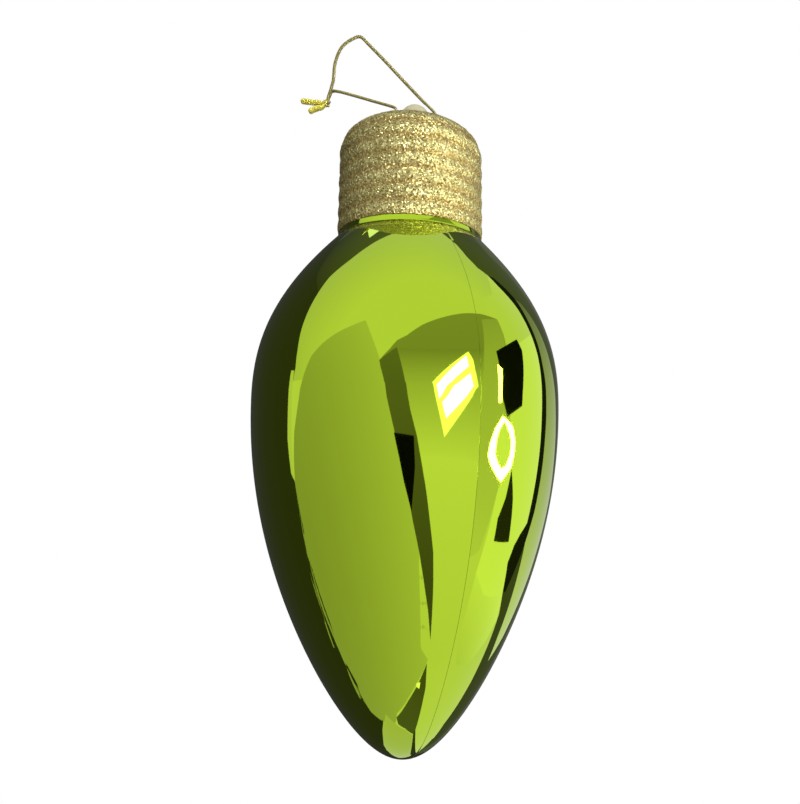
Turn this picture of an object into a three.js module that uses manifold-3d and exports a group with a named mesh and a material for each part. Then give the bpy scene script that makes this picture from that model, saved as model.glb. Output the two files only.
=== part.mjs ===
import * as THREE from "three";
import { mergeVertices } from "three/addons/utils/BufferGeometryUtils.js";
import Module from "manifold-3d";

// A large hollow bulb ornament with a screw-base cap, hung by a cord through the plug on its cap.
// Millimetres, +Z up along the bulb's axis. The origin is the middle of the plug's cross hole.

const wasm = await Module();
wasm.setup();

// Round pieces
const SIDES = 40;
const HOLE_SIDES = 16;
const CORD_SIDES = 8;
const MERGE = 1e-3;

// Gaps between pieces
const SEAT_GAP = 0.05; // between faces that rest on each other
const CORD_GAP = 0.3; // between one stretch of the cord and the next piece on it

// Hanging plug, frosted
const PLUG_HEIGHT = 6.9; // above the cap's top
const PLUG_BASE_RADIUS = 4.1;
const PLUG_DOME_RADIUS = 3.7;
const PLUG_STEM_RADIUS = 2.5;
const PLUG_SNAP_RADIUS = 3.2; // the barb under the cap's top
const PLUG_SNAP_HEIGHT = 2.2;
const PLUG_PLAY = 1.15; // up and down in its hole, so that it can rock
const STEM_CLEARANCE = 0.2;
const EYE_HEIGHT = 3.2; // cross hole's middle above the cap's top
const EYE_CLEARANCE = 0.3; // round the cord in the cross hole

// Cord
const CORD_DIAMETER = 0.75;
const KNOT_RADIUS = 0.85;

// Screw cap: a slightly tapered cup with shallow rings and a rounded top
const CAP_HEIGHT = 26.3;
const CAP_RIM_RADIUS = 17.0;
const CAP_TOP_RADIUS = 16.87; // where the wall meets the rounded corner
const CAP_CORNER_RADIUS = 6.57;
const CAP_WALL = 1.0;
const RING_PITCH = 3.64;
const RING_DEPTH = 0.2; // crest to valley

// Shell: an egg curve below a rounded shoulder, a low collar under the cap's rim, and a neck
const SHELL_RADIUS = 34.65;
const SHELL_WALL = 1.2;
const TIP_LENGTH = 77.6; // from the tip up to the widest ring
const TIP_DRAW = 0.29; // how far the lower curve is drawn in
const SHOULDER_LENGTH = 60.5; // height scale of the upper curve, which the neck cuts off
const SHOULDER_DRAW = 1.19;
const TIP_POWER = 2.12;
const SHOULDER_POWER = 2.6;
const NECK_CLEARANCE = 0.7; // between the neck and the inside of the cap
const NECK_INSERT = 13; // neck inside the cap
const COLLAR_RADIUS = 16.95; // where the shoulder meets the collar
const COLLAR_HEIGHT = 1.25;
const COLLAR_DRAFT = 0.2; // how much narrower the collar is at its top
const SEAM_ANGLE = 30; // degrees to the right of the front

// Seam between the halves: the left half's lip slides inside the right half's edge
const SEAM_GAP = 0.25;
const LIP_LENGTH = 1.2;
const LIP_THICKNESS = 0.5;

// Glue between neck and cap
const GLUE_HEIGHT = 7;
const GLUE_ABOVE_RIM = 3;

// Heights that follow
const capTop = -EYE_HEIGHT;
const capRim = capTop - CAP_HEIGHT;
const collarTop = capRim - SEAT_GAP;
const collarRoot = collarTop - COLLAR_HEIGHT;
const neckTop = capRim + NECK_INSERT;
const widest = collarRoot - shellPoint(angleAtRadius(COLLAR_RADIUS, 0))[1];
const capHole = PLUG_STEM_RADIUS + STEM_CLEARANCE;

// Solids and geometries

function solidOf(geometry) {
  const bare = geometry.clone();
  bare.deleteAttribute("normal");
  bare.deleteAttribute("uv");
  const merged = mergeVertices(bare, MERGE);
  return new wasm.Manifold(
    new wasm.Mesh({
      numProp: 3,
      vertProperties: merged.attributes.position.array,
      triVerts: merged.index.array,
    }),
  );
}

function geometryOf(solid) {
  const made = solid.getMesh();
  const geometry = new THREE.BufferGeometry();
  geometry.setAttribute("position", new THREE.BufferAttribute(made.vertProperties, 3));
  geometry.setIndex(new THREE.BufferAttribute(made.triVerts, 1));
  geometry.computeVertexNormals();
  return geometry;
}

// Turns a profile of [radius, height] points, listed anticlockwise, about the Z axis.
function turned(profile) {
  const points = profile.map(([radius, height]) => new THREE.Vector2(radius, height));
  return new THREE.LatheGeometry(points, SIDES).rotateX(Math.PI / 2);
}

function steps(count, from, to) {
  return Array.from({ length: count + 1 }, (_, i) => from + ((to - from) * i) / count);
}

// Shell

// The neck tapers as the inside of the cap does.
function neckRadius(height) {
  return capWallRadius(height) - CAP_WALL - NECK_CLEARANCE;
}

// A point of the shell's outside, from angle -90 degrees at the tip through 0 at the widest ring.
function shellPoint(angle) {
  const rise = Math.sin(angle);
  const lower = rise < 0;
  const draw = lower ? TIP_DRAW * (-rise) ** TIP_POWER : SHOULDER_DRAW * rise ** SHOULDER_POWER;
  return [SHELL_RADIUS * Math.cos(angle) * (1 - draw), rise * (lower ? TIP_LENGTH : SHOULDER_LENGTH)];
}

// The same point moved inwards, square to the surface.
function insetPoint(angle, inset) {
  const step = 1e-4;
  const [radius, height] = shellPoint(angle);
  const [nextRadius, nextHeight] = shellPoint(angle + step);
  const along = Math.hypot(nextRadius - radius, nextHeight - height);
  const outX = (nextHeight - height) / along;
  const outZ = (radius - nextRadius) / along;
  return [radius - inset * outX, height - inset * outZ];
}

// Where the shoulder's curve, moved inwards, comes in to a radius.
function angleAtRadius(radius, inset) {
  let low = 0;
  let high = Math.PI / 2;
  for (let turn = 0; turn < 50; turn++) {
    const middle = (low + high) / 2;
    const outside = insetPoint(middle, inset)[0] > radius;
    if (outside) low = middle;
    else high = middle;
  }
  return low;
}

// The shell's outline moved inwards, from the tip on the axis to the top of the neck. The outside
// has the collar, and the inside runs straight from the shoulder into the neck.
function shellCurve(inset) {
  const rings = 22;
  const end = inset ? neckRadius(collarTop) - inset : COLLAR_RADIUS;
  const lower = steps(rings / 2, -Math.PI / 2, 0);
  const upper = steps(rings / 2, 0, angleAtRadius(end, inset)).slice(1);
  const curve = [...lower, ...upper].map((angle) => {
    const [radius, height] = insetPoint(angle, inset);
    return [radius, widest + height];
  });
  curve[0][0] = 0;
  if (!inset) {
    curve.push([COLLAR_RADIUS - COLLAR_DRAFT, collarTop], [neckRadius(collarTop), collarTop]);
  }
  curve.push([neckRadius(neckTop) - inset, neckTop]);
  return curve;
}

function shellWall() {
  return solidOf(turned([...shellCurve(0), ...shellCurve(SHELL_WALL).reverse()]));
}

// Everything inside the shell's outline moved inwards.
function shellCore(inset) {
  return solidOf(turned([...shellCurve(inset), [0, neckTop]]));
}

// A block across the shell, between two distances from the seam's plane.
function slab(from, to) {
  const reach = 2 * (SHELL_RADIUS + TIP_LENGTH + SHOULDER_LENGTH + NECK_INSERT);
  const block = new THREE.BoxGeometry(to - from, reach, reach);
  return solidOf(block.translate((from + to) / 2, 0, widest));
}

function shellHalves() {
  const wall = shellWall();
  const lipOutside = SHELL_WALL - LIP_THICKNESS;
  const far = 2 * SHELL_RADIUS;
  const edge = SEAM_GAP / 2;
  const lip = wall.intersect(shellCore(lipOutside)).intersect(slab(-LIP_LENGTH, LIP_LENGTH));
  const recess = shellCore(lipOutside - SEAM_GAP).intersect(slab(-far, LIP_LENGTH + SEAM_GAP));
  return {
    left: geometryOf(wall.intersect(slab(-far, -edge)).add(lip)),
    right: geometryOf(wall.intersect(slab(edge, far)).subtract(recess)),
  };
}

// Screw cap

function capWallRadius(height) {
  const straight = CAP_HEIGHT - CAP_CORNER_RADIUS;
  const share = Math.min((height - capRim) / straight, 1);
  return CAP_RIM_RADIUS + (CAP_TOP_RADIUS - CAP_RIM_RADIUS) * share;
}

// How far a ring stands out at a height: a valley at the rim and a crest half a pitch above it.
function ring(height) {
  return (-RING_DEPTH / 2) * Math.cos((2 * Math.PI * (height - capRim)) / RING_PITCH);
}

function capOutside() {
  const cornerHeight = capTop - CAP_CORNER_RADIUS;
  const cornerMiddle = CAP_TOP_RADIUS - CAP_CORNER_RADIUS;
  const wallSteps = Math.ceil((5 * (cornerHeight - capRim)) / RING_PITCH);
  const wall = steps(wallSteps, capRim, cornerHeight).map((height) => [
    capWallRadius(height) + ring(height),
    height,
  ]);
  const corner = steps(9, 0, Math.PI / 2)
    .slice(1)
    .map((angle) => {
      const height = cornerHeight + CAP_CORNER_RADIUS * Math.sin(angle);
      const reach = CAP_CORNER_RADIUS + ring(height) * Math.cos(angle) ** 2;
      return [cornerMiddle + reach * Math.cos(angle), cornerHeight + reach * Math.sin(angle)];
    });
  return [...wall, ...corner, [capHole, capTop]];
}

function capInside() {
  const innerCorner = CAP_CORNER_RADIUS - CAP_WALL;
  const cornerHeight = capTop - CAP_CORNER_RADIUS;
  const cornerMiddle = CAP_TOP_RADIUS - CAP_CORNER_RADIUS;
  const corner = steps(6, Math.PI / 2, 0).map((angle) => [
    cornerMiddle + innerCorner * Math.cos(angle),
    cornerHeight + innerCorner * Math.sin(angle),
  ]);
  return [[capHole, capTop - CAP_WALL], ...corner, [CAP_RIM_RADIUS - CAP_WALL, capRim]];
}

function screwCap() {
  const outside = capOutside();
  return turned([...outside, ...capInside(), outside[0]]);
}

function glueRing() {
  const inner = (height) => neckRadius(height) + SEAT_GAP;
  const bottom = capRim + GLUE_ABOVE_RIM;
  const top = bottom + GLUE_HEIGHT;
  const outer = (height) => capWallRadius(height) - CAP_WALL - SEAT_GAP;
  return turned([
    [inner(bottom), bottom],
    [outer(bottom), bottom],
    [outer(top), top],
    [inner(top), top],
    [inner(bottom), bottom],
  ]);
}

// Hanging plug

function hangerPlug() {
  const base = capTop + SEAT_GAP;
  const top = capTop + PLUG_HEIGHT;
  const under = capTop - CAP_WALL - PLUG_PLAY;
  const dome = steps(12, 0, Math.PI / 2).map((angle) => [
    PLUG_DOME_RADIUS * Math.cos(angle),
    top - PLUG_DOME_RADIUS + PLUG_DOME_RADIUS * Math.sin(angle),
  ]);
  dome[dome.length - 1][0] = 0;
  const body = turned([
    [0, under - PLUG_SNAP_HEIGHT],
    [PLUG_STEM_RADIUS, under - PLUG_SNAP_HEIGHT],
    [PLUG_SNAP_RADIUS, under],
    [PLUG_STEM_RADIUS, under],
    [PLUG_STEM_RADIUS, base],
    [PLUG_BASE_RADIUS, base],
    ...dome,
  ]);
  const eyeRadius = CORD_DIAMETER / 2 + EYE_CLEARANCE;
  const length = 4 * PLUG_BASE_RADIUS;
  const hole = new THREE.CylinderGeometry(eyeRadius, eyeRadius, length, HOLE_SIDES);
  return geometryOf(solidOf(body).subtract(solidOf(hole.rotateZ(Math.PI / 2))));
}

// Cord: a loop from the plug's eye, drawn as it lies to the left, with both ends in one knot.
// Its points are [x, z] in the plane of the axis, and a third number is the depth behind it.

const eyeEnd = PLUG_BASE_RADIUS - CORD_GAP;
const strandRoutes = {
  cord_in_eye: [
    [-eyeEnd, 0],
    [0, 0],
    [eyeEnd, 0],
  ],
  cord_right_strand: [
    [4.1, 0],
    [5.0, 0.12],
    [5.75, 0.65],
    [5.95, 1.6],
    [5.48, 2.56],
    [2.08, 6.19],
    [-1.09, 9.68],
    [-4.2, 13.16],
    [-7.08, 16.39],
    [-11.1, 20.72],
    [-12.0, 21.75],
    [-12.75, 22.4],
  ],
  cord_left_strand: [
    [-13.05, 22.52],
    [-13.7, 22.52],
    [-14.52, 22.15],
    [-16.07, 21.21],
    [-17.38, 19.95],
    [-18.21, 18.44],
    [-18.78, 16.75],
    [-19.18, 14.92],
    [-19.31, 12.8],
    [-19.4, 11.07],
    [-19.67, 9.87],
    [-19.93, 8.75],
    [-20.25, 7.58],
    [-20.6, 6.38],
  ],
  cord_left_leg: [
    [-4.1, 0],
    [-4.8, 0.12],
    [-5.2, 0.8],
    [-4.95, 1.75],
    [-4.3, 2.55],
    [-3.95, 3.15],
    [-4.05, 3.75],
    [-4.56, 4.08],
    [-5.42, 4.39],
    [-9.96, 5.77],
    [-13.09, 6.74],
    [-15.45, 7.44],
    [-17.3, 7.98],
    [-18.1, 8.22, 0.2],
    [-18.8, 8.5, 0.6],
    [-19.4, 8.68, 0.95],
    [-19.95, 8.5, 1.1],
    [-20.25, 7.85, 1.1],
    [-20.55, 7.05, 1.1],
    [-20.8, 6.4, 1.05],
  ],
  cord_tail_upper: [
    [-22.15, 5.18],
    [-23.51, 5.3],
    [-25.23, 5.49],
    [-26.58, 5.67],
    [-27.2, 5.72],
  ],
  cord_tail_lower: [
    [-21.8, 4.2],
    [-23.0, 3.85],
    [-24.25, 3.35],
    [-25.2, 2.8],
  ],
};
const KNOT_X = -20.87;
const KNOT_Z = 5.14;

function cordStretch(route) {
  const points = route.map(([x, z, depth = 0]) => new THREE.Vector3(x, depth, z));
  const path = new THREE.CatmullRomCurve3(points, false, "centripetal");
  const section = new THREE.Shape(
    steps(CORD_SIDES, 0, 2 * Math.PI)
      .slice(1)
      .map((angle) => new THREE.Vector2(Math.cos(angle), Math.sin(angle)))
      .map((point) => point.multiplyScalar(CORD_DIAMETER / 2)),
  );
  const stepLength = 2 * CORD_DIAMETER;
  return new THREE.ExtrudeGeometry(section, {
    steps: Math.ceil(path.getLength() / stepLength),
    extrudePath: path,
  });
}

// Finishes
const limeMirror = { color: 0x9cc52b, roughness: 0.05, metalness: 1 };
const goldGlitter = { color: 0xc6b062, roughness: 0.45, metalness: 0.8 };
const frosted = { color: 0xe4dfd0, roughness: 0.6, metalness: 0 };
const clearGlue = { color: 0xe9e6da, roughness: 0.4, metalness: 0 };
const goldCord = { color: 0xbcae50, roughness: 0.5, metalness: 0.6 };

function piece(name, geometry, finish) {
  const mesh = new THREE.Mesh(geometry, new THREE.MeshStandardMaterial(finish));
  mesh.name = name;
  return mesh;
}

// Assembly: the turned pieces share one group, so that their facets line up at the seam's angle.
const ornament = new THREE.Group();
const halves = shellHalves();
const turnedPieces = new THREE.Group();
turnedPieces.rotation.z = THREE.MathUtils.degToRad(SEAM_ANGLE);
turnedPieces.add(
  piece("shell_left_half", halves.left, limeMirror),
  piece("shell_right_half", halves.right, limeMirror),
  piece("screw_cap", screwCap(), goldGlitter),
  piece("cap_glue_ring", glueRing(), clearGlue),
);
ornament.add(turnedPieces, piece("hanger_plug", hangerPlug(), frosted));

const cord = new THREE.Group();
for (const [name, route] of Object.entries(strandRoutes)) {
  cord.add(piece(name, cordStretch(route), goldCord));
}
const knot = piece("cord_knot", new THREE.SphereGeometry(KNOT_RADIUS, 16, 10), goldCord);
knot.position.set(KNOT_X, 0, KNOT_Z);
cord.add(knot);

const bulbOrnament = new THREE.Group();
bulbOrnament.add(ornament, cord);

export default bulbOrnament;
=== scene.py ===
"""A large hollow bulb ornament: a mirrored lime shell in two halves, a glitter cap, a frosted plug
and a thin gold cord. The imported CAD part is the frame, in metres, with its origin in the plug's eye."""

import math
import random

import bmesh
import bpy
from mathutils import Matrix, Vector


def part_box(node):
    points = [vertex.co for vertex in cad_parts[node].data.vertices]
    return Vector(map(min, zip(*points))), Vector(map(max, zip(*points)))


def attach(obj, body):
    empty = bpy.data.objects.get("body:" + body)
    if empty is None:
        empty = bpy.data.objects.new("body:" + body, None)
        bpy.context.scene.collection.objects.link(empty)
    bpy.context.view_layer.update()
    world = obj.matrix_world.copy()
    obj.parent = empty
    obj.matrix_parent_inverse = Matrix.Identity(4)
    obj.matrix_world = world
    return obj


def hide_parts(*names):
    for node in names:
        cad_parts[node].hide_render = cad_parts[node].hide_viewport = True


MM = 0.001
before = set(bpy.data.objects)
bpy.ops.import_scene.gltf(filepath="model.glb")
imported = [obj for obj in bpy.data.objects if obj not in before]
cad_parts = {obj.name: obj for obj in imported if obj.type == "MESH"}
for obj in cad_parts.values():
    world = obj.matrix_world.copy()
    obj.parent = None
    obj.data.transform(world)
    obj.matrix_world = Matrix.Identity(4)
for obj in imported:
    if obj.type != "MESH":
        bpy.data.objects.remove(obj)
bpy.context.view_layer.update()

# Heights from the frame
cap_low, cap_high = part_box("screw_cap")
plug_low, plug_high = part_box("hanger_plug")
shell_low, shell_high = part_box("shell_left_half")
CAP_TOP = cap_high.z
CAP_RIM = cap_low.z
TIP = shell_low.z
NECK_TOP = shell_high.z

# Shell
SHELL_RADIUS = 34.65 * MM
SHELL_WALL = 1.2 * MM
TIP_LENGTH = 77.6 * MM
TIP_DRAW = 0.29
TIP_POWER = 2.12
SHOULDER_LENGTH = 60.5 * MM
SHOULDER_DRAW = 1.19
SHOULDER_POWER = 2.6
NECK_CLEARANCE = 0.7 * MM
COLLAR_RADIUS = 16.95 * MM
COLLAR_DRAFT = 0.2 * MM
COLLAR_FILLET = 0.8 * MM
SEAT_GAP = 0.05 * MM
SEAM_TURN = math.radians(30)
SEAM_GAP = 0.05 * MM
SEAM_ROUNDING = 0.12 * MM
WIDEST = TIP + TIP_LENGTH
SHELL_ROWS = 64
SHELL_INNER_ROWS = 24
SHELL_COLUMNS = 96  # round one half
FILLET_STEPS = 5

# Cap
CAP_RIM_RADIUS = 17.0 * MM
CAP_TOP_RADIUS = 16.87 * MM
CAP_CORNER_RADIUS = 6.57 * MM
CAP_WALL = 1.0 * MM
RING_PITCH = 3.64 * MM
RING_DEPTH = 0.2 * MM
GRAIN = 0.33 * MM
GRAIN_STAND = 0.05 * MM
GRAIN_STRAY = 0.2  # how far a grain strays from its row, as a share of its width
GRAIN_SEED = 4
FLAKE = 0.3  # millimetres
CORNER_STEPS = 8

# Plug
PLUG_BASE_RADIUS = 4.1 * MM
PLUG_DOME_RADIUS = 3.7 * MM
PLUG_STEM_RADIUS = 2.5 * MM
PLUG_SNAP_RADIUS = 3.2 * MM
PLUG_EYE_RADIUS = 0.675 * MM
PLUG_PLAY = 1.15 * MM
PLUG_EDGE_ROUNDING = 0.3 * MM
PLUG_LEAN = math.radians(9)
PLUG_SHIFT = 0.2 * MM
STEM_CLEARANCE = 0.2 * MM
STEM_HOLE_RADIUS = PLUG_STEM_RADIUS + STEM_CLEARANCE
DOME_STEPS = 20
PLUG_COLUMNS = 64
EYE_COLUMNS = 32

# Cord
CORD_DIAMETER = 0.75 * MM
TAIL_SWELL = 1.8  # how much wider the tails are where they have opened out
TAIL_OPENING = 1.5 * MM
END_ROUNDING = 0.35 * MM
END_SHARE = 0.55  # the cord's width at its very end, as a share of its own
CORD_STEP = 0.12 * MM
CORD_COLUMNS = 14
PLY_TURN = 0.85 * MM
PLY_DEPTH = 0.18  # how far the two plies stand out of a round section, as a share of it
KNOT_REACH = 0.62 * MM
KNOT_THREAD_DIAMETER = 0.72 * MM
KNOT_FLATNESS = 1.6
KNOT_STEPS = 120

# The photograph's camera
PICTURE_SIDE_PX = 804
FOCAL_PX = 725
CROPPED_PX = 93.65  # how far the middle of the lens lies to the right of the picture's middle
SENSOR = 36
CAMERA_PLACE = Vector((19.752, -167.005, -88.694)) * MM
CAMERA_TILT = math.radians(6.912)
CAMERA_ROLL = math.radians(-0.104)
CAMERA_NEAR = 5 * MM
CAMERA_FAR = 20

# Where the lamps and the reflected cards hang, seen from the ornament's middle
ROOM_MIDDLE = Vector((0, 0, -80)) * MM
LAMP_DISTANCE = 1.2
CARD_DISTANCE = 3.0
CARD_LAYER = 0.06
CARD_CUTS = 7
SOFT_LIGHT = 0.55
UPWARDS = Vector((0, 0, 1))
DOME_FADE = Vector((-0.37, 0.93, 0))
PANEL_FADE = Vector((0.9, 0, 0.435))
FLOOR_RADIUS = 250 * MM
FLOOR_BELOW_TIP = 150 * MM
FLOOR_COLUMNS = 96

# Shading and merging
SMOOTH_ANGLE = math.radians(40)
CORD_SMOOTH_ANGLE = math.radians(60)
MERGE = 0.0005 * MM
SLIVER = 0.0002 * MM
CORD_MERGE = 0.001 * MM


def linear(channel):
    """The sRGB curve."""
    if channel <= 0.04045:
        return channel / 12.92
    return ((channel + 0.055) / 1.055) ** 2.4


def colour(hex_value):
    """A linear RGBA colour from an sRGB hex value."""
    channels = (hex_value >> 16 & 255, hex_value >> 8 & 255, hex_value & 255)
    return (*(linear(channel / 255) for channel in channels), 1)


def add_node(tree, kind, inputs=None, **settings):
    """A node with its settings, and its inputs set to values or linked to sockets."""
    made = tree.nodes.new(kind)
    for name, value in settings.items():
        setattr(made, name, value)
    for name, value in (inputs or {}).items():
        if isinstance(value, bpy.types.NodeSocket):
            tree.links.new(value, made.inputs[name])
        else:
            made.inputs[name].default_value = value
    return made


def new_material(name):
    material = bpy.data.materials.new(name)
    material.use_nodes = True
    material.node_tree.nodes.clear()
    return material, material.node_tree


def per_mm(size_mm):
    """A pattern scale that repeats once in so many millimetres."""
    return 1 / (size_mm * MM)


# Camera, light and stage


def photo_camera():
    """The photograph's own camera: it looks a little upwards from below the ornament's middle, and the
    picture is the left part of what its lens saw."""
    data = bpy.data.cameras.new("camera")
    data.sensor_width = SENSOR
    data.lens = SENSOR * FOCAL_PX / PICTURE_SIDE_PX
    data.shift_x = -CROPPED_PX / PICTURE_SIDE_PX
    data.clip_start = CAMERA_NEAR
    data.clip_end = CAMERA_FAR
    camera = bpy.data.objects.new("camera", data)
    bpy.context.scene.collection.objects.link(camera)
    turn = Matrix.Rotation(math.pi / 2 + CAMERA_TILT, 4, "X") @ Matrix.Rotation(CAMERA_ROLL, 4, "Z")
    camera.matrix_world = Matrix.Translation(CAMERA_PLACE) @ turn
    bpy.context.scene.camera = camera
    bpy.context.scene.view_settings.view_transform = "Standard"


def white_room():
    """Soft light for the matt pieces, and plain white for what the camera and the mirror see."""
    world = bpy.data.worlds.new("white_room")
    world.use_nodes = True
    tree = world.node_tree
    tree.nodes.clear()
    path = add_node(tree, "ShaderNodeLightPath")
    seen = add_node(
        tree, "ShaderNodeMath", {0: path.outputs["Is Camera Ray"], 1: path.outputs["Is Glossy Ray"]},
        operation="MAXIMUM",
    )
    seen = add_node(
        tree, "ShaderNodeMath", {0: seen.outputs[0], 1: path.outputs["Is Transmission Ray"]},
        operation="MAXIMUM",
    )
    soft = add_node(tree, "ShaderNodeBackground", {"Color": (1, 1, 1, 1), "Strength": SOFT_LIGHT})
    white = add_node(tree, "ShaderNodeBackground", {"Color": (1, 1, 1, 1), "Strength": 1.0})
    mixed = add_node(
        tree, "ShaderNodeMixShader",
        {0: seen.outputs[0], 1: soft.outputs[0], 2: white.outputs[0]},
    )
    add_node(tree, "ShaderNodeOutputWorld", {"Surface": mixed.outputs[0]})
    bpy.context.scene.world = world


def toward(azimuth, elevation):
    """A direction from the ornament: azimuth from the camera's side towards the right, in degrees."""
    turn, rise = math.radians(azimuth), math.radians(elevation)
    return Vector((math.sin(turn) * math.cos(rise), -math.cos(turn) * math.cos(rise), math.sin(rise)))


def soft_lamp(name, azimuth, elevation, size, power):
    """A square lamp that faces the ornament and that its mirror doesn't show."""
    data = bpy.data.lights.new(name, "AREA")
    data.size = size
    data.energy = power
    lamp = bpy.data.objects.new(name, data)
    bpy.context.scene.collection.objects.link(lamp)
    direction = toward(azimuth, elevation)
    lamp.location = ROOM_MIDDLE + direction * LAMP_DISTANCE
    lamp.rotation_euler = (-direction).to_track_quat("-Z", "Y").to_euler()
    lamp.visible_glossy = False


def card_paint(name, low_light, high_light, low, high, direction):
    """A card's own light, which changes evenly along a direction."""
    material, tree = new_material(name)
    place = add_node(tree, "ShaderNodeTexCoord")
    along = add_node(
        tree, "ShaderNodeVectorMath", {0: place.outputs["Object"], 1: tuple(direction)},
        operation="DOT_PRODUCT",
    )
    light = add_node(
        tree, "ShaderNodeMapRange",
        {"Value": along.outputs["Value"], "From Min": low, "From Max": high,
         "To Min": low_light, "To Max": high_light},
    )
    glow = add_node(
        tree, "ShaderNodeEmission", {"Color": (1, 1, 1, 1), "Strength": light.outputs[0]}
    )
    add_node(tree, "ShaderNodeOutputMaterial", {"Surface": glow.outputs[0]})
    return material


def card(name, corners, lights, layer=0, direction=UPWARDS):
    """A card that only the mirror sees. corners are (azimuth, elevation) pairs in degrees, and lights
    the brightness at its near and at its far end along the direction. A higher layer hangs nearer."""
    distance = CARD_DISTANCE - CARD_LAYER * layer
    mesh = bmesh.new()
    verts = [mesh.verts.new(ROOM_MIDDLE + toward(*corner) * distance) for corner in corners]
    bmesh.ops.triangulate(mesh, faces=[mesh.faces.new(verts)])
    bmesh.ops.subdivide_edges(mesh, edges=mesh.edges, cuts=CARD_CUTS, use_grid_fill=True)
    for vert in mesh.verts:
        vert.co = ROOM_MIDDLE + (vert.co - ROOM_MIDDLE).normalized() * distance
    made = as_object(name, mesh)
    reach = [vert.co.dot(direction) for vert in made.data.vertices]
    made.data.materials.append(card_paint(name, *lights, min(reach), max(reach), direction))
    made.visible_camera = False
    made.visible_diffuse = False
    made.visible_transmission = False
    made.visible_shadow = False


# The edges that several cards share, as (azimuth, elevation) corners
LEFT_EDGE = [(-144, 76), (-129, 73), (-119, 69), (-106, 60), (-102, 51), (-93, 41), (-86, 29),
             (-82, 21), (-80, 14), (-82, 6), (-84, -5), (-82, -12), (-79, -17), (-81, -24), (-84, -29),
             (-85, -35), (-83, -40), (-85, -50), (-86, -57), (-81, -65), (-76, -73), (-107, -70),
             (-139, -61), (-159, -50)]
PANEL_TOP = [(-30, 40), (-40, 36), (-49, 32), (-60, 25), (-67, 19), (-71, 12), (-75, 5), (-79, -1),
             (-81, -7)]
PANEL_RIGHT = [(46, -59), (32, -50), (18, -36), (11, -27), (6, -18), (1, -10), (-3, -3), (-8, 5),
               (-13, 15), (-19, 27)]
RIGHT_EDGE = [(155, 68), (140, 62), (129, 60), (123, 56), (124, 51), (123, 46), (125, 38), (124, 30),
              (123, 19), (123, 10), (124, 3), (123, -4), (121, -10), (119, -17), (117, -25),
              (114, -30), (122, -32), (127, -36), (133, -42), (140, -52), (163, -54)]
LINE_OUTER = [(118, -29), (121, -24), (124, -18), (127, -12), (127, -4), (129, 4), (129, 10),
              (128, 16), (129, 22), (130, 30), (132, 37), (128, 48)]
GLOW_OUTER = [(136, 34), (142, 24), (146, 14), (152, 6), (158, -4), (156, -14), (152, -24), (144, -32),
              (138, -30), (128, -22)]
RING_OUTER = [(77, 2), (83, 1), (87, 0), (90, -3), (90, -6), (88, -9), (84, -11), (80, -13), (75, -12),
              (69, -10), (66, -8), (67, -5), (71, -1)]
RING_INNER = [(79, 1), (83, -1), (86, -3), (86, -6), (83, -9), (79, -10), (75, -9), (72, -7), (73, -3),
              (75, -1)]


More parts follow.
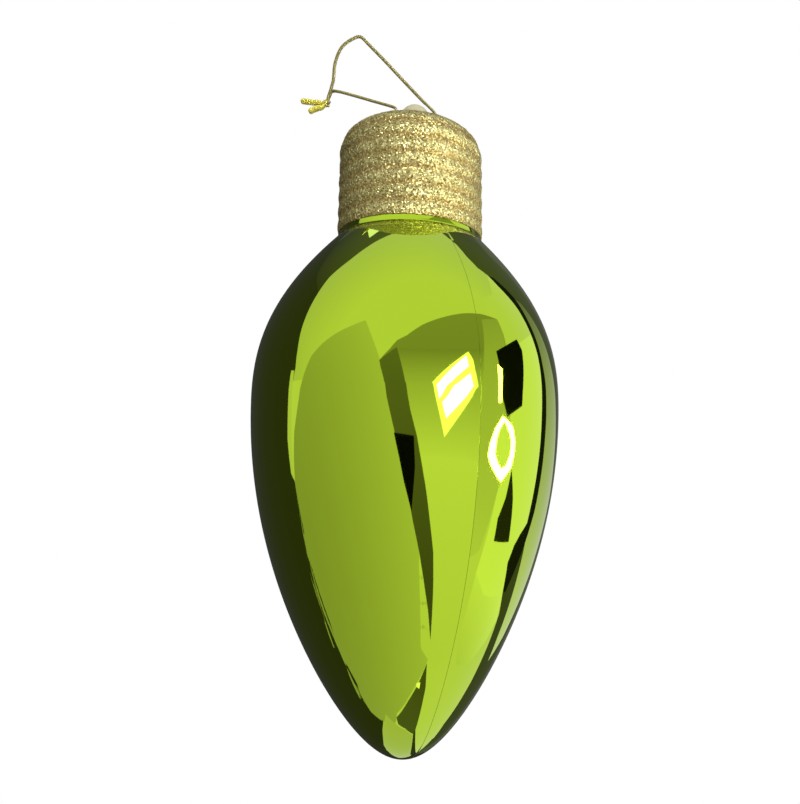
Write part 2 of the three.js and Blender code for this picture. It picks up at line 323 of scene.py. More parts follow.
def reflected_cards():
    """The dark and pale cards round the ornament that its mirror shows."""
    card("left_flag", [*LEFT_EDGE, (-150, -30), (-152, 0), (-152, 40)], (0.04, 0.048), layer=1)
    card("left_flag_top", [(-144, 76), (-129, 73), (-119, 69), (-106, 60), (-102, 51), (-97, 45),
                           (-120, 44), (-150, 40), (-152, 60)], (0.048, 0.14), layer=2)
    card("left_back", [(-140, -55), (-140, 0), (-140, 68), (172, 68), (176, 0), (172, -55)],
         (0.035, 0.05))
    card("right_flag", [*RIGHT_EDGE, (158, -30), (160, 0), (156, 40)], (0.08, 0.11), layer=1)
    card("right_back", [(150, -55), (150, 0), (150, 68), (172, 68), (176, 0), (172, -55)],
         (0.12, 0.14))
    card("right_glow", [*LINE_OUTER[2:-1], *GLOW_OUTER], (0.95, 0.2), layer=2)
    card("top_flag", [(-143, 77), (180, 80), (150, 70), (152, 40), (180, 34), (-145, 40)],
         (0.1, 0.1), layer=2)
    card("dome_shade",
         [(-100, 8), (-52, 10), (-51, 30), (-42, 50), (-34, 60), (-8, 70), (22, 73), (52, 70),
          (77, 60), (85, 50), (105, 48), (126, 52), (150, 64), (180, 72), (-150, 60), (-120, 40)],
         (1.0, 0.68), direction=DOME_FADE)
    card("right_line", [*RIGHT_EDGE[4:16], *LINE_OUTER], (0.015, 0.015), layer=3)
    card("right_wedge", [(121, -12), (120, -15), (113, -19), (109, -22), (107, -26), (114, -30),
                         (118, -25), (120, -17)], (0.015, 0.015), layer=3)
    card("panel",
         [*PANEL_TOP, (-86, -28), (-93, -42), (-96, -57), (-90, -70), (-60, -82), (-34, -80),
          (32, -71), (44, -64), *PANEL_RIGHT], (0.46, 0.78), layer=1,
         direction=PANEL_FADE)
    card("arch_top",
         [(-7, 24), (-2, 29), (5, 32), (18, 39), (33, 43), (56, 45), (74, 43), (89, 38), (88, 30),
          (86, 24), (68, 24), (50, 24), (32, 24), (14, 24)], (0.39, 0.41), layer=1)
    card("arch_middle",
         [(-14, 18), (-7, 24), (14, 24), (32, 24), (50, 24), (68, 24), (86, 24), (84, 18), (82, 4),
          (82, -10), (64, -10), (46, -10), (28, -10), (10, -10)], (1.08, 0.36), layer=1)
    card("arch_foot",
         [(10, -10), (28, -10), (46, -10), (64, -10), (82, -10), (88, -26), (94, -40), (60, -62),
          (30, -60)], (0.98, 1.1), layer=1)
    card("arch_side",
         [(72, 40), (89, 38), (88, 30), (84, 22), (84, -6), (78, -16), (72, -30), (65, -33),
          (61, -20), (60, -7), (60, 5), (64, 22)], (0.95, 0.54), layer=2)
    card("right_pane",
         [(84, 22), (123, 26), (123, -4), (119, -17), (114, -30), (104, -34), (90, -37), (74, -35),
          (78, -16), (84, -6)], (1.32, 1.2), layer=2)
    card("right_pane_foot",
         [(74, -35), (90, -37), (104, -34), (114, -30), (122, -33), (120, -38), (112, -46), (92, -54),
          (78, -50)], (0.94, 1.32), layer=2)
    card("dark_band",
         [(-14, 18), (-2, 25), (4, 10), (8, 2), (13, -5), (20, -18), (30, -35), (34, -44), (42, -57),
          *PANEL_RIGHT[:-1]], (0.09, 0.21), layer=2)
    card("dark_block", [(-3, -4), (11, -5), (12, -13), (10, -25), (4, -17), (1, -11)],
         (0.004, 0.004), layer=3)
    card("window_rim", [(23, 9), (51, 23), (54, 19), (56, 8), (32, -5)], (2.6, 2.6), layer=3)
    card("window_upper", [(26, 8), (49, 21), (50, 16), (28, 5)], (45, 45), layer=4)
    card("window_lower", [(30, 4), (51, 13), (53, 8), (33, 0)], (45, 45), layer=4)
    card("right_shade", [(75, 23), (101, 27), (103, 22), (96, 5), (81, 2), (76, 7)],
         (0.006, 0.006), layer=3)
    card("right_shade_low", [(89, -9), (95, -15), (101, -23), (84, -26), (83, -21), (87, -16)],
         (0.03, 0.03), layer=3)
    card("right_sliver", [(74, 17), (78, 15), (76, 5), (73, 5)], (14, 14), layer=4)
    card("lamp_ring", RING_OUTER, (30, 30), layer=4)
    card("lamp_ring_middle", RING_INNER, (1.3, 1.3), layer=5)
    card("neck_light", [(-140, 56), (-138, 67), (-128, 64)], (1.4, 1.4), layer=3)
    card("left_sliver", [(-84, 13), (-81, 13), (-82, 4), (-83, -2), (-82, -11), (-85, -9), (-86, -2),
                         (-85, 4)], (0.9, 0.9), layer=2)
    card("tip_light", [(-70, -74), (-65, -82), (100, -89), (130, -81), (179, -52), (-169, -46),
                       (-159, -52), (-138, -61), (-107, -70)], (0.75, 0.8), layer=2)
    card("tip_shade", [(45, -63), (38, -70), (18, -77), (-44, -81), (-56, -84), (46, -89), (126, -81),
                       (111, -80), (63, -72), (58, -69)], (0.14, 0.1), layer=3)
    card("tip_line", [(126, -81), (111, -80), (172, -53), (178, -57)], (0.05, 0.05), layer=3)
    card("tip_spot", [(34, -70), (42, -69), (44, -71), (36, -71)], (2.0, 2.0), layer=4)


def pale_floor():
    """A round, matt, pale table under the ornament."""
    mesh = bmesh.new()
    bmesh.ops.create_circle(
        mesh, cap_ends=True, segments=FLOOR_COLUMNS, radius=FLOOR_RADIUS,
        matrix=Matrix.Translation((0, 0, TIP - FLOOR_BELOW_TIP)),
    )
    floor = as_object("floor", mesh)
    material, tree = new_material("pale_floor_paint")
    shader = add_node(
        tree, "ShaderNodeBsdfPrincipled", {"Base Color": colour(0xF2F1EE), "Roughness": 0.8}
    )
    add_node(tree, "ShaderNodeOutputMaterial", {"Surface": shader.outputs[0]})
    floor.data.materials.append(material)
    floor.visible_glossy = False


# Meshes


def as_object(name, mesh):
    """A bmesh as a named object at the origin."""
    data = bpy.data.meshes.new(name)
    mesh.to_mesh(data)
    mesh.free()
    made = bpy.data.objects.new(name, data)
    bpy.context.scene.collection.objects.link(made)
    return made


def steps(count, start, end):
    """Evenly spaced values from start to end, both included."""
    return [start + (end - start) * i / count for i in range(count + 1)]


def loop_of(mesh, points):
    """A closed outline of (radius, height) points in the plane of X and Z, as edges."""
    verts = [mesh.verts.new((radius, 0, height)) for radius, height in points]
    closed = [*verts[1:], verts[0]]
    return [mesh.edges.new(pair) for pair in zip(verts, closed)]


def line_of(mesh, points):
    """An open outline of (radius, height) points in the plane of X and Z, as edges."""
    verts = [mesh.verts.new((radius, 0, height)) for radius, height in points]
    return [mesh.edges.new(pair) for pair in zip(verts, verts[1:])]


def spun(mesh, edges, segments):
    """Turns an outline fully round the axis and closes its seam and poles."""
    verts = {vert for edge in edges for vert in edge.verts}
    bmesh.ops.spin(
        mesh, geom=[*verts, *edges], axis=(0, 0, 1), cent=(0, 0, 0), angle=2 * math.pi,
        steps=segments, use_merge=True,
    )
    bmesh.ops.remove_doubles(mesh, verts=mesh.verts, dist=MERGE)
    bmesh.ops.recalc_face_normals(mesh, faces=mesh.faces)


def smooth(made, angle=SMOOTH_ANGLE):
    """Smooth shading that stops at sharper edges."""
    made.data.shade_smooth()
    made.data.set_sharp_from_angle(angle=angle)


# Shell halves


def shell_point(angle):
    """A point of the shell's outside, from -90 degrees at the tip through 0 at the widest ring."""
    rise = math.sin(angle)
    if rise < 0:
        draw, length = TIP_DRAW * (-rise) ** TIP_POWER, TIP_LENGTH
    else:
        draw, length = SHOULDER_DRAW * rise**SHOULDER_POWER, SHOULDER_LENGTH
    return SHELL_RADIUS * math.cos(angle) * (1 - draw), WIDEST + rise * length


def inset_point(angle, inset):
    """The same point moved inwards, square to the surface."""
    step = 1e-4
    radius, height = shell_point(angle)
    next_radius, next_height = shell_point(angle + step)
    along = math.hypot(next_radius - radius, next_height - height)
    return (
        radius - inset * (next_height - height) / along,
        height - inset * (radius - next_radius) / along,
    )


def angle_at_radius(radius, inset):
    """Where the shoulder's curve, moved inwards, comes in to a radius."""
    low, high = 0, math.pi / 2
    for _ in range(50):
        middle = (low + high) / 2
        if inset_point(middle, inset)[0] > radius:
            low = middle
        else:
            high = middle
    return low


def neck_radius(height):
    """The neck tapers as the inside of the cap does."""
    return cap_wall_radius(height) - CAP_WALL - NECK_CLEARANCE


def shell_curve(inset, rings):
    """The shell's outline moved inwards, from the tip on the axis to the top of the neck. The outside
    has the low collar under the cap's rim, with a small fillet at its foot, which turns by 45 degrees."""
    collar_top = CAP_RIM - SEAT_GAP
    tangent = COLLAR_FILLET * math.tan(math.pi / 8)
    end = neck_radius(collar_top) - inset if inset else COLLAR_RADIUS + tangent
    angles = [*steps(rings, -math.pi / 2, 0), *steps(rings, 0, angle_at_radius(end, inset))[1:]]
    curve = [inset_point(angle, inset) for angle in angles]
    curve[0] = (0, curve[0][1])
    if not inset:
        foot = inset_point(angle_at_radius(COLLAR_RADIUS, 0), 0)[1]
        curve += [
            (COLLAR_RADIUS + COLLAR_FILLET * (1 + math.cos(turn)),
             foot + tangent + COLLAR_FILLET * math.sin(turn))
            for turn in steps(FILLET_STEPS, math.pi * 5 / 4, math.pi)
        ]
        curve += [(COLLAR_RADIUS - COLLAR_DRAFT, collar_top), (neck_radius(collar_top), collar_top)]
    return [*curve, (neck_radius(NECK_TOP) - inset, NECK_TOP)]


def round_seam_edge(mesh):
    """Rounds the outer edge where a half meets the seam's plane, so that it catches a line of light.
    The faces in that plane are the ones with many corners."""
    middle = Vector((0, 0, WIDEST))
    many = 8
    seam_faces = [face for face in mesh.faces if len(face.verts) > many]
    outer = []
    for edge in {edge for face in seam_faces for edge in face.edges}:
        place = (edge.verts[0].co + edge.verts[1].co) / 2
        skin = [face for face in edge.link_faces if face not in seam_faces]
        if skin and skin[0].normal.dot(place - middle) > 0 and place.z < CAP_RIM:
            outer.append(edge)
    bmesh.ops.bevel(
        mesh, geom=outer, offset=SEAM_ROUNDING, offset_type="OFFSET", segments=3, profile=0.5,
        affect="EDGES", material=-1, clamp_overlap=True,
    )


def shell_half(name, side):
    """One half of the shell's wall, spun half round from the seam, with a rounded outer edge."""
    outside = shell_curve(0, SHELL_ROWS)
    inside = shell_curve(SHELL_WALL, SHELL_INNER_ROWS)
    mesh = bmesh.new()
    edges = loop_of(mesh, [*outside, *reversed(inside)])
    wall = bmesh.ops.contextual_create(mesh, geom=edges)["faces"]
    bmesh.ops.spin(
        mesh, geom=[*wall], axis=(0, 0, 1), cent=(0, 0, 0), angle=math.pi, steps=SHELL_COLUMNS,
    )
    bmesh.ops.remove_doubles(mesh, verts=mesh.verts, dist=MERGE)
    bmesh.ops.dissolve_degenerate(mesh, edges=mesh.edges, dist=SLIVER)
    bmesh.ops.recalc_face_normals(mesh, faces=mesh.faces)
    half_turn = Matrix.Rotation(-math.pi / 2 * side, 4, "Z")
    bmesh.ops.transform(mesh, matrix=half_turn, verts=mesh.verts)
    round_seam_edge(mesh)
    bmesh.ops.translate(mesh, vec=(side * SEAM_GAP / 2, 0, 0), verts=mesh.verts)
    bmesh.ops.transform(mesh, matrix=Matrix.Rotation(SEAM_TURN, 4, "Z"), verts=mesh.verts)
    made = as_object(name, mesh)
    smooth(made)
    even = made.modifiers.new("even_shading", "WEIGHTED_NORMAL")
    even.keep_sharp = True
    apply_modifiers(made)
    return made


# Cap


def cap_wall_radius(height):
    """The cap's outer radius without its rings: it narrows a little from the rim to the corner."""
    straight = CAP_TOP - CAP_CORNER_RADIUS - CAP_RIM
    share = min((height - CAP_RIM) / straight, 1)
    return CAP_RIM_RADIUS + (CAP_TOP_RADIUS - CAP_RIM_RADIUS) * share


def ring(height):
    """How far a ring stands out: a valley at the rim and a crest half a pitch above it."""
    return -RING_DEPTH / 2 * math.cos(2 * math.pi * (height - CAP_RIM) / RING_PITCH)


def cap_outside():
    """The ridged wall, the rounded corner and the flat top, in rows one grain high."""
    corner_height = CAP_TOP - CAP_CORNER_RADIUS
    corner_middle = CAP_TOP_RADIUS - CAP_CORNER_RADIUS
    rows = round((corner_height - CAP_RIM) / GRAIN)
    wall = [
        (cap_wall_radius(height) + ring(height), height)
        for height in steps(rows, CAP_RIM, corner_height)
    ]
    corner = []
    for angle in steps(round(CAP_CORNER_RADIUS * math.pi / 2 / GRAIN), 0, math.pi / 2)[1:]:
        height = corner_height + CAP_CORNER_RADIUS * math.sin(angle)
        reach = CAP_CORNER_RADIUS + ring(height) * math.cos(angle) ** 2
        corner.append(
            (corner_middle + reach * math.cos(angle), corner_height + reach * math.sin(angle))
        )
    top_rows = round((corner_middle - STEM_HOLE_RADIUS) / GRAIN)
    top = [(radius, CAP_TOP) for radius in steps(top_rows, corner_middle, STEM_HOLE_RADIUS)]
    return [*wall, *corner, *top[1:]]


def cap_inside():
    """The inside, from the edge of the plug's hole down to the rim."""
    inner_corner = CAP_CORNER_RADIUS - CAP_WALL
    corner_height = CAP_TOP - CAP_CORNER_RADIUS
    corner_middle = CAP_TOP_RADIUS - CAP_CORNER_RADIUS
    corner = [
        (corner_middle + inner_corner * math.cos(angle), corner_height + inner_corner * math.sin(angle))
        for angle in steps(CORNER_STEPS, math.pi / 2, 0)
    ]
    return [(STEM_HOLE_RADIUS, CAP_TOP - CAP_WALL), *corner, (CAP_RIM_RADIUS - CAP_WALL, CAP_RIM)]


def glitter_cap():
    """The cap with its glitter: every point of the outside lies a little inwards and astray, so that
    each small facet faces its own way."""
    chance = random.Random(GRAIN_SEED)
    mesh = bmesh.new()
    edges = loop_of(mesh, [*cap_outside(), *cap_inside()])
    spun(mesh, edges, round(2 * math.pi * CAP_RIM_RADIUS / GRAIN))
    mesh.normal_update()
    faces_out, faces_up, top_depth = 0.05, 0.3, 0.01 * MM
    outer = [
        vert for vert in mesh.verts
        if vert.normal.dot(Vector((vert.co.x, vert.co.y, 0)).normalized()) > faces_out
        or (vert.normal.z > faces_up and vert.co.z > CAP_TOP - top_depth)
    ]
    for vert in outer:
        stray = Vector((chance.uniform(-1, 1), chance.uniform(-1, 1), chance.uniform(-1, 1)))
        vert.co += vert.normal * chance.uniform(-1, 0) * GRAIN_STAND + stray * GRAIN * GRAIN_STRAY
    bmesh.ops.triangulate(mesh, faces=mesh.faces)
    return as_object("glitter_cap", mesh)


# Plug


def frosted_plug():
    """The snap-in hanging plug, with a domed head. It rocks in its hole and leans to the right, and the
    cross hole for the cord runs through it level."""
    under = plug_low.z
    seat = CAP_TOP + SEAT_GAP
    snap = CAP_TOP - CAP_WALL - PLUG_PLAY
    top = plug_high.z
    dome = [
        (PLUG_DOME_RADIUS * math.cos(angle), top - PLUG_DOME_RADIUS * (1 - math.sin(angle)))
        for angle in steps(DOME_STEPS, 0, math.pi / 2)
    ]
    dome[-1] = (0, top)
    mesh = bmesh.new()
    edges = line_of(
        mesh,
        [(0, under), (PLUG_STEM_RADIUS, under), (PLUG_SNAP_RADIUS, snap), (PLUG_STEM_RADIUS, snap),
         (PLUG_STEM_RADIUS, seat), (PLUG_BASE_RADIUS, seat),
         (PLUG_BASE_RADIUS, seat + PLUG_EDGE_ROUNDING), *dome],
    )
    spun(mesh, edges, PLUG_COLUMNS)
    edge = Matrix.Translation((PLUG_BASE_RADIUS, 0, seat))
    lean = edge @ Matrix.Rotation(PLUG_LEAN, 4, "Y") @ edge.inverted()
    bmesh.ops.transform(mesh, matrix=Matrix.Translation((PLUG_SHIFT, 0, 0)) @ lean, verts=mesh.verts)
    made = as_object("frosted_plug", mesh)
    hole = bmesh.new()
    bmesh.ops.create_cone(
        hole, cap_ends=True, segments=EYE_COLUMNS, radius1=PLUG_EYE_RADIUS, radius2=PLUG_EYE_RADIUS,
        depth=4 * PLUG_BASE_RADIUS, matrix=Matrix.Rotation(math.pi / 2, 4, "Y"),
    )
    cutter = as_object("eye_cutter", hole)
    cut = made.modifiers.new("eye", "BOOLEAN")
    cut.operation = "DIFFERENCE"
    cut.solver = "EXACT"
    cut.object = cutter
    apply_modifiers(made)
    bpy.data.objects.remove(cutter)
    smooth(made)
    return made


def apply_modifiers(made):
    """Keeps what the modifiers make as the object's own mesh."""
    bpy.context.view_layer.update()
    shape = made.evaluated_get(bpy.context.evaluated_depsgraph_get())
    data = bpy.data.meshes.new_from_object(shape)
    made.modifiers.clear()
    made.data = data


# Cord: points are (x, z) in millimetres, in the plane of the axis

RIGHT_STRAND = [(4.1, 0), (5.0, 0.12), (5.75, 0.65), (5.95, 1.6), (5.48, 2.56), (2.08, 6.19),
                (-1.09, 9.68), (-4.2, 13.16), (-7.08, 16.39), (-11.1, 20.72), (-12.0, 21.75),
                (-12.75, 22.4)]
LEFT_STRAND = [(-13.05, 22.52), (-13.7, 22.52), (-14.52, 22.15), (-16.07, 21.21), (-17.38, 19.95),
               (-18.21, 18.44), (-18.78, 16.75), (-19.18, 14.92), (-19.31, 12.8), (-19.4, 11.07),
               (-19.67, 9.87), (-19.93, 8.75), (-20.25, 7.58), (-20.6, 6.38)]
LEFT_LEG = [(-4.1, 0), (-4.8, 0.12), (-5.2, 0.8), (-4.95, 1.75), (-4.3, 2.55), (-3.95, 3.15),
            (-4.05, 3.75), (-4.56, 4.08), (-5.42, 4.39), (-9.96, 5.77), (-13.09, 6.74),
            (-15.45, 7.44), (-17.3, 7.98), (-18.1, 8.22, 0.2), (-18.8, 8.5, 0.6),
            (-19.4, 8.68, 0.95), (-19.95, 8.5, 1.1), (-20.25, 7.85, 1.1), (-20.55, 7.05, 1.1),
            (-20.8, 6.4, 1.05)]
UPPER_TAIL = [(-22.15, 5.18), (-23.51, 5.3), (-25.23, 5.49), (-26.58, 5.67), (-27.2, 5.72)]
LOWER_TAIL = [(-21.8, 4.2), (-23.0, 3.85), (-24.25, 3.35), (-25.2, 2.8)]
KNOT_MIDDLE = Vector((-20.87, 0, 5.14)) * MM
KNOT_PASS = 0.38 * MM  # the two runs cross in the knot, one in front of the other
KNOT_STAGGER = 0.1 * MM
OPEN_FROM_X = -20.5 * MM  # from here to the next, the thread goes from worn to freshly opened
OPEN_TO_X = -21.5 * MM
STRANDS_TOUCH = 0.7  # the leg lies nearer to the strand before it than in the CAD, and touches it


def route_point(point):
    """A point of the route: x, z and, where there is a third number, the depth behind the axis."""
    depth = point[2] * STRANDS_TOUCH if len(point) > 2 else 0
    return Vector((point[0], depth, point[1])) * MM


def cord_route():
    """The whole cord: the upper tail, the knot, up and over the loop, through the plug's eye, back
    along the left leg to the knot and out at the lower tail."""
    knot_in = KNOT_MIDDLE + Vector((0, KNOT_PASS, KNOT_STAGGER))
    knot_out = KNOT_MIDDLE + Vector((0, -KNOT_PASS, -KNOT_STAGGER))
    return [
        *(route_point(point) for point in reversed(UPPER_TAIL)),
        knot_in,
        *(route_point(point) for point in reversed(LEFT_STRAND)),
        *(route_point(point) for point in reversed(RIGHT_STRAND)),
        Vector((0, 0, 0)),
        *(route_point(point) for point in LEFT_LEG),
        knot_out,
        *(route_point(point) for point in LOWER_TAIL),
    ]


def between(before, start, end, after, share):
    """A point of the centripetal curve that runs from start to end."""
    first = (start - before).length ** 0.5
    second = first + (end - start).length ** 0.5
    third = second + (after - end).length ** 0.5
    t = first + (second - first) * share
    low = before.lerp(start, t / first)
    middle = start.lerp(end, (t - first) / (second - first))
    high = end.lerp(after, (t - second) / (third - second))
    low = low.lerp(middle, t / second)
    high = middle.lerp(high, (t - first) / (third - first))
    return low.lerp(high, share)


def smooth_line(points, spacing):
    """Points at an even spacing on a smooth curve through the route."""
    padded = [2 * points[0] - points[1], *points, 2 * points[-1] - points[-2]]
    finer = 6
    fine = []
    for before, start, end, after in zip(padded, padded[1:], padded[2:], padded[3:]):
        count = max(2, math.ceil((end - start).length / (spacing / finer)))
        fine += [between(before, start, end, after, share) for share in steps(count, 0, 1)[:-1]]
    fine.append(points[-1])
    even, travelled = [fine[0]], 0.0
    for last, here in zip(fine, fine[1:]):
        travelled += (here - last).length
        if travelled >= spacing:
            even.append(here)
            travelled = 0.0
    return even


def line_length(points):
    """The length along a line of points."""
    return sum((b - a).length for a, b in zip(points, points[1:]))


def twisted_tube(name, points, thickness):
    """A tube of two plies twisted together along the points. thickness gives the diameter after a
    distance, from that and the whole length."""
    section = bpy.data.curves.new(name + "_section", "CURVE")
    section.dimensions = "2D"
    outline = section.splines.new("POLY")
    outline.points.add(CORD_COLUMNS - 1)
    outline.use_cyclic_u = True
    for i, point in enumerate(outline.points):
        angle = 2 * math.pi * i / CORD_COLUMNS
        reach = (1 + PLY_DEPTH * math.cos(2 * angle)) / 2
        point.co = (reach * math.cos(angle), reach * math.sin(angle), 0, 1)
    section_object = bpy.data.objects.new(name + "_section", section)
    bpy.context.scene.collection.objects.link(section_object)
    data = bpy.data.curves.new(name, "CURVE")
    data.dimensions = "3D"
    data.bevel_mode = "OBJECT"
    data.bevel_object = section_object
    data.use_fill_caps = True
    spline = data.splines.new("POLY")
    spline.points.add(len(points) - 1)
    length = line_length(points)
    travelled = 0.0
    for i, (point, place) in enumerate(zip(spline.points, points)):
        if i:
            travelled += (place - points[i - 1]).length
        point.co = (*place, 1)
        point.radius = thickness(travelled, length)
        point.tilt = 2 * math.pi * travelled / PLY_TURN
    curve = bpy.data.objects.new(name + "_curve", data)
    bpy.context.scene.collection.objects.link(curve)
    bpy.context.view_layer.update()
    shape = curve.evaluated_get(bpy.context.evaluated_depsgraph_get())
    mesh = bmesh.new()
    mesh.from_mesh(bpy.data.meshes.new_from_object(shape))
    bmesh.ops.remove_doubles(mesh, verts=mesh.verts, dist=CORD_MERGE)
    bmesh.ops.recalc_face_normals(mesh, faces=mesh.faces)
    bpy.data.objects.remove(curve)
    bpy.data.objects.remove(section_object)
    made = as_object(name, mesh)
    smooth(made, CORD_SMOOTH_ANGLE)
    return made


def cord_thickness(travelled, length):
    """The cord's width: its own between the tails, which open out from the knot to their ends."""
    upper = line_length([route_point(point) for point in UPPER_TAIL])
    lower = line_length([route_point(point) for point in LOWER_TAIL])
    into_tail = max(upper - travelled, travelled - (length - lower))
    swell = min(max(into_tail / TAIL_OPENING + 0.5, 0), 1)
    end = min(travelled, length - travelled)
    rounding = min(1, END_SHARE + (1 - END_SHARE) * end / END_ROUNDING)
    return CORD_DIAMETER * (1 + (TAIL_SWELL - 1) * swell) * rounding


def knot_thickness(travelled, length):
    """The knot's cord is pulled tight, and as wide all the way."""
    return KNOT_THREAD_DIAMETER


def knot_line():
    """A tight overhand knot: a trefoil with three crossings."""
    points = []
    for i in range(KNOT_STEPS):
        turn = 2 * math.pi * i / KNOT_STEPS
        across = math.sin(turn) + 2 * math.sin(2 * turn)
        behind = -KNOT_FLATNESS * math.sin(3 * turn)
        up = math.cos(turn) - 2 * math.cos(2 * turn)
        points.append(KNOT_MIDDLE + KNOT_REACH / 3 * Vector((across, behind, up)))
    return [*points, points[0], points[1]]


# Materials


def lacquered_mirror():
    """Vacuum-metallised polystyrene under a clear lime lacquer: a bright mirror tinted by the lacquer,
    whose own skin adds a paler shine at the edges. Slow waves in the moulding bend what it shows."""
    material, tree = new_material("lacquered_mirror")
    place = add_node(tree, "ShaderNodeTexCoord").outputs["Object"]
    wave = add_node(
        tree, "ShaderNodeTexNoise", {"Vector": place, "Scale": per_mm(14), "Detail": 1.0}
    )
    bump = add_node(
        tree, "ShaderNodeBump", {"Height": wave.outputs[0], "Distance": 0.03 * MM, "Strength": 1.0}
    )
    shader = add_node(
        tree, "ShaderNodeBsdfPrincipled",
        {"Base Color": colour(0xAECE2B), "Metallic": 1.0, "Roughness": 0.03,
         "Coat Weight": 0.2, "Coat Roughness": 0.03, "Normal": bump.outputs[0]},
    )
    add_node(tree, "ShaderNodeOutputMaterial", {"Surface": shader.outputs[0]})
    return material


def gold_glitter():
    """Polyester glitter flakes glued over moulded polystyrene: each flake is a small mirror that faces
    its own way, so its grains go from dark to a white spark. The valleys between the rings are mixed
    towards a darker brown, a painted shade."""
    material, tree = new_material("gold_glitter")
    place = add_node(tree, "ShaderNodeTexCoord").outputs["Object"]
    flakes = add_node(tree, "ShaderNodeTexVoronoi", {"Vector": place, "Scale": per_mm(FLAKE)})
    tilt = add_node(
        tree, "ShaderNodeVectorMath", {0: flakes.outputs["Color"], 1: (0.5, 0.5, 0.5)},
        operation="SUBTRACT",
    )
    facing = add_node(tree, "ShaderNodeNewGeometry")
    leaning = add_node(
        tree, "ShaderNodeVectorMath",
        {0: tilt.outputs[0], 1: (0.9, 0.9, 0.9), 2: facing.outputs["Normal"]},
        operation="MULTIPLY_ADD",
    )
    normal = add_node(
        tree, "ShaderNodeVectorMath", {0: leaning.outputs[0]}, operation="NORMALIZE"
    )
    tone = add_node(tree, "ShaderNodeSeparateXYZ", {0: flakes.outputs["Color"]})
    paint = add_node(
        tree, "ShaderNodeMix",
        {"Factor": tone.outputs[1], "A": colour(0x66581A), "B": colour(0xE6DC9A)},
        data_type="RGBA",
    )
    # Painted shade: the valleys between the rings are mixed towards a darker brown.
    height = add_node(tree, "ShaderNodeSeparateXYZ", {0: place})
    turns = add_node(
        tree, "ShaderNodeMapRange",
        {"Value": height.outputs["Z"], "From Min": CAP_RIM, "From Max": CAP_RIM + RING_PITCH,
         "To Min": 0.0, "To Max": 2 * math.pi},
        clamp=False,
    )
    valley = add_node(tree, "ShaderNodeMath", {0: turns.outputs[0]}, operation="COSINE")
    valley_shade = add_node(
        tree, "ShaderNodeMapRange",
        {"Value": valley.outputs[0], "From Min": -0.2, "From Max": 1.0, "To Min": 0.0,
         "To Max": 0.45},
    )
    paint = add_node(
        tree, "ShaderNodeMix",
        {"Factor": valley_shade.outputs[0], "A": paint.outputs["Result"], "B": colour(0x866422)},
        data_type="RGBA",
    )
    shader = add_node(
        tree, "ShaderNodeBsdfPrincipled",
        {"Base Color": paint.outputs["Result"], "Metallic": 0.9, "Roughness": 0.42,
         "Normal": normal.outputs[0]},
    )
    add_node(tree, "ShaderNodeOutputMaterial", {"Surface": shader.outputs[0]})
    return material


def frosted_plastic():
    """Moulded polyethylene, left matt by its mould: milky, soft-edged and a little see-through."""
    material, tree = new_material("frosted_plastic")
    place = add_node(tree, "ShaderNodeTexCoord").outputs["Object"]
    grain = add_node(
        tree, "ShaderNodeTexNoise", {"Vector": place, "Scale": per_mm(0.5), "Detail": 3.0}
    )
    bump = add_node(
        tree, "ShaderNodeBump", {"Height": grain.outputs[0], "Distance": 0.02 * MM}
    )
    shader = add_node(
        tree, "ShaderNodeBsdfPrincipled",
        {"Base Color": colour(0xB5B08C), "Roughness": 0.5, "Subsurface Weight": 0.5,
         "Subsurface Radius": (0.9, 0.9, 0.7), "Subsurface Scale": 1.5 * MM,
         "Normal": bump.outputs[0]},
    )
    add_node(tree, "ShaderNodeOutputMaterial", {"Surface": shader.outputs[0]})
    return material


def melted_glue():
    """Hot-melt glue: a milky, half clear bead with a soft gloss and a few bubbles."""
    material, tree = new_material("melted_glue")
    place = add_node(tree, "ShaderNodeTexCoord").outputs["Object"]
    bubbles = add_node(tree, "ShaderNodeTexVoronoi", {"Vector": place, "Scale": per_mm(1.2)})
    bump = add_node(
        tree, "ShaderNodeBump", {"Height": bubbles.outputs["Distance"], "Distance": 0.1 * MM}
    )
    shader = add_node(
        tree, "ShaderNodeBsdfPrincipled",
        {"Base Color": colour(0xE9E6DA), "Roughness": 0.3, "Transmission Weight": 0.4,
         "Normal": bump.outputs[0]},
    )
    add_node(tree, "ShaderNodeOutputMaterial", {"Surface": shader.outputs[0]})
    return material


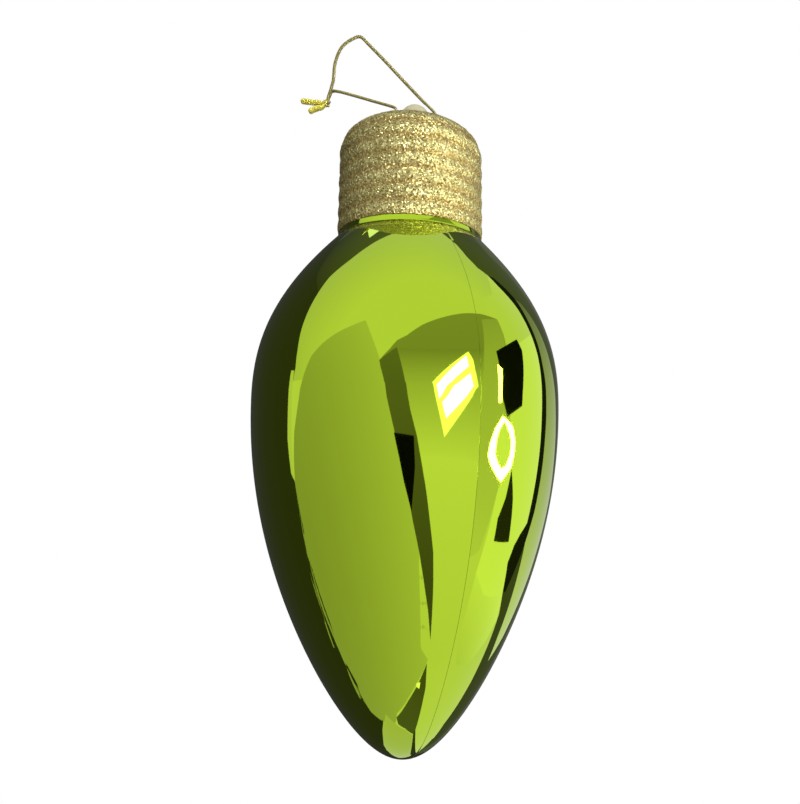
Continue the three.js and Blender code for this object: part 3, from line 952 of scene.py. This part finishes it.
def gold_thread():
    """Metallised thread wound round a core: a dull gold with darker lines between the turns,
    brighter where the tails open out."""
    material, tree = new_material("gold_thread")
    place = add_node(tree, "ShaderNodeTexCoord").outputs["Object"]
    winding = add_node(
        tree, "ShaderNodeTexNoise", {"Vector": place, "Scale": per_mm(0.35), "Detail": 2.0}
    )
    worn = add_node(
        tree, "ShaderNodeMix",
        {"Factor": winding.outputs[0], "A": colour(0x423C1C), "B": colour(0xBAB06A)},
        data_type="RGBA",
    )
    fresh = add_node(
        tree, "ShaderNodeMix",
        {"Factor": winding.outputs[0], "A": colour(0x8E8420), "B": colour(0xFFF56E)},
        data_type="RGBA",
    )
    across = add_node(tree, "ShaderNodeSeparateXYZ", {0: place})
    at_tails = add_node(
        tree, "ShaderNodeMapRange",
        {"Value": across.outputs["X"], "From Min": OPEN_FROM_X, "From Max": OPEN_TO_X,
         "To Min": 0.0, "To Max": 1.0},
    )
    paint = add_node(
        tree, "ShaderNodeMix",
        {"Factor": at_tails.outputs[0], "A": worn.outputs["Result"], "B": fresh.outputs["Result"]},
        data_type="RGBA",
    )
    bump = add_node(
        tree, "ShaderNodeBump", {"Height": winding.outputs[0], "Distance": 0.04 * MM}
    )
    shader = add_node(
        tree, "ShaderNodeBsdfPrincipled",
        {"Base Color": paint.outputs["Result"], "Metallic": 0.45, "Roughness": 0.58,
         "Normal": bump.outputs[0]},
    )
    add_node(tree, "ShaderNodeOutputMaterial", {"Surface": shader.outputs[0]})
    return material


def finish_piece(made, material, body, slot, *nodes):
    """Gives a piece its material and its body, and hides the frame's nodes that it stands for. slot is
    not used.
    """
    made.data.materials.append(material)
    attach(made, body)
    if nodes:
        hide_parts(*nodes)


# Assembly
photo_camera()
white_room()
soft_lamp("window_lamp", azimuth=34, elevation=12, size=0.35, power=9)
soft_lamp("ceiling_lamp", azimuth=-20, elevation=70, size=0.9, power=5)

thread = gold_thread()
cord_points = smooth_line(cord_route(), CORD_STEP)
cord = twisted_tube("cord_loop", cord_points, cord_thickness)
knot = twisted_tube("cord_knot_turns", knot_line(), knot_thickness)
finish_piece(
    cord, thread, "cord", "cord_gold", "cord_in_eye", "cord_right_strand", "cord_left_strand",
    "cord_left_leg", "cord_tail_upper", "cord_tail_lower",
)
finish_piece(knot, thread, "cord", "cord_gold", "cord_knot")

mirror = lacquered_mirror()
left_half = shell_half("left_shell_skin", -1)
right_half = shell_half("right_shell_skin", 1)
finish_piece(left_half, mirror, "ornament", "shell_lime_mirror", "shell_left_half")
finish_piece(right_half, mirror, "ornament", "shell_lime_mirror", "shell_right_half")
finish_piece(glitter_cap(), gold_glitter(), "ornament", "cap_gold_glitter", "screw_cap")
finish_piece(frosted_plug(), frosted_plastic(), "ornament", "plug_frosted", "hanger_plug")
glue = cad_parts["cap_glue_ring"]
glue.data.materials.clear()
glue.data.materials.append(melted_glue())

reflected_cards()
pale_floor()
